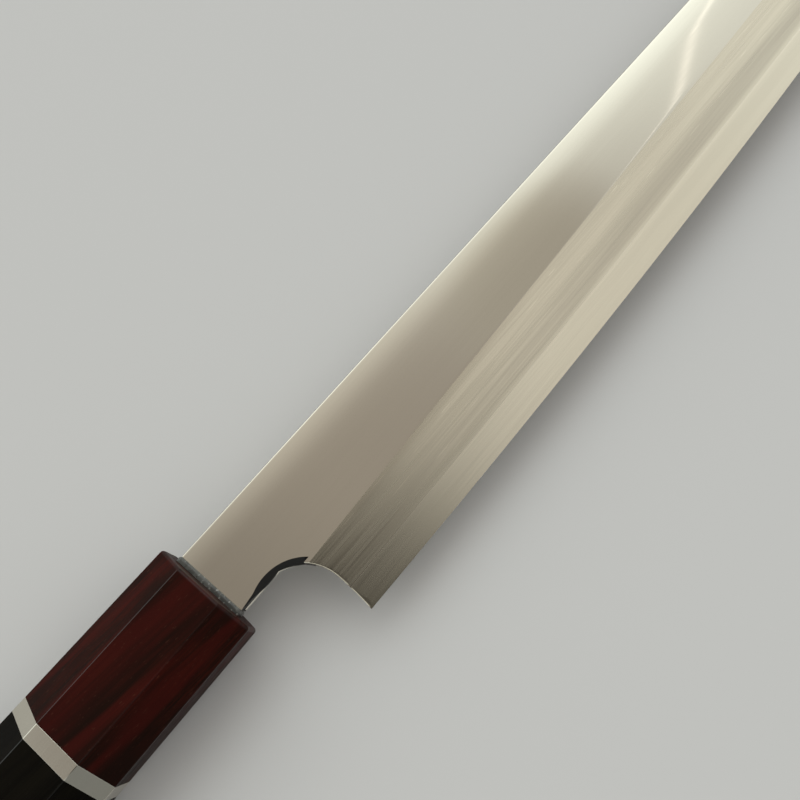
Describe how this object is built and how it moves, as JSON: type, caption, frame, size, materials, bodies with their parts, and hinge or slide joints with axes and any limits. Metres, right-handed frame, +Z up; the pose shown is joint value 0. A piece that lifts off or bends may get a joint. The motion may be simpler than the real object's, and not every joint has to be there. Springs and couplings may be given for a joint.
{
  "type": "sakimaru takohiki knife",
  "caption": "Long single-bevel slicing knife with a sword-like curved tip, hollow back, round neck notch and an octagonal hardwood handle with a metal spacer ring.",
  "frame": {"origin": "centre of the bounding box's bottom, under the knife as it lies on the handle's lower side facet with its bevelled face up", "axes": "+X from the handle to the tip, +Y from the edge to the spine, +Z up out of the bevelled face"},
  "size_m": [0.4502, 0.0396, 0.0198],
  "materials": {
    "soft_steel": "fine satin polish on the flat, fine lengthwise scratches on the bevel",
    "hard_steel": "fine lengthwise stone scratches, paler than the cladding",
    "red_hardwood": "oiled dark red hardwood with fine open grain",
    "ring_metal": "polished nickel silver",
    "black_hardwood": "polished near-black hardwood",
    "dowel_wood": "plain pale wood, glued",
    "bedding_resin": "set resin",
    "clear_resin": "clear bead of resin"
  },
  "bodies": {
    "root": {"blade_cladding": "soft_steel", "edge_steel": "hard_steel", "ferrule": "red_hardwood", "spacer_ring": "ring_metal", "handle_body": "black_hardwood", "handle_dowel": "dowel_wood", "tang_bedding": "bedding_resin", "tang_seal": "clear_resin"}
  },
  "joints": []
}
